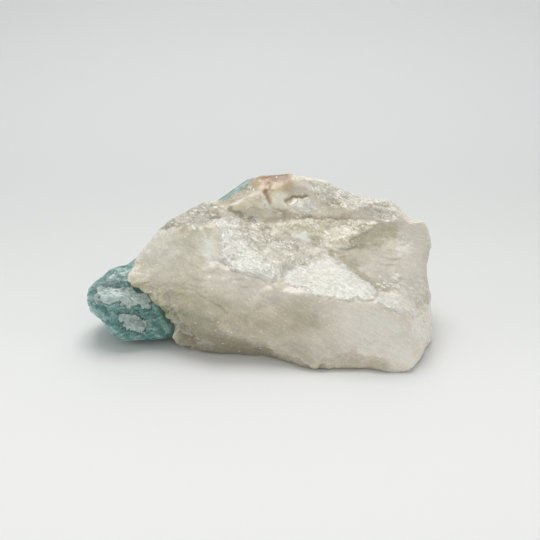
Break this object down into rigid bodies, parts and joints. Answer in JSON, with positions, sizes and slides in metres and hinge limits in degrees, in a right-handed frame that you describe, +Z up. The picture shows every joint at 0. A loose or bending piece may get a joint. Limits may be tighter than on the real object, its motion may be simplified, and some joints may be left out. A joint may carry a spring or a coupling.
{
  "type": "aquamarine in matrix",
  "caption": "Rough blue-green beryl crystal grown through a broken lump of milky quartz, resting on a small flat spot",
  "frame": {"origin": "middle of the footprint, on the table that the stone rests on", "axes": "+X is the viewer's right along the stone's length, +Y is away from the viewer, +Z is up; the crystal shows at -X"},
  "size_m": [0.1182, 0.0726, 0.0487],
  "materials": {
    "milky_quartz": "milky, translucent, broken and frosted in places, iron-stained at the crest",
    "beryl": "blue-green, rough and partly frosted, satin on the prism faces"
  },
  "bodies": {
    "root": {"quartz_matrix": "milky_quartz", "aquamarine": "beryl"}
  },
  "joints": []
}
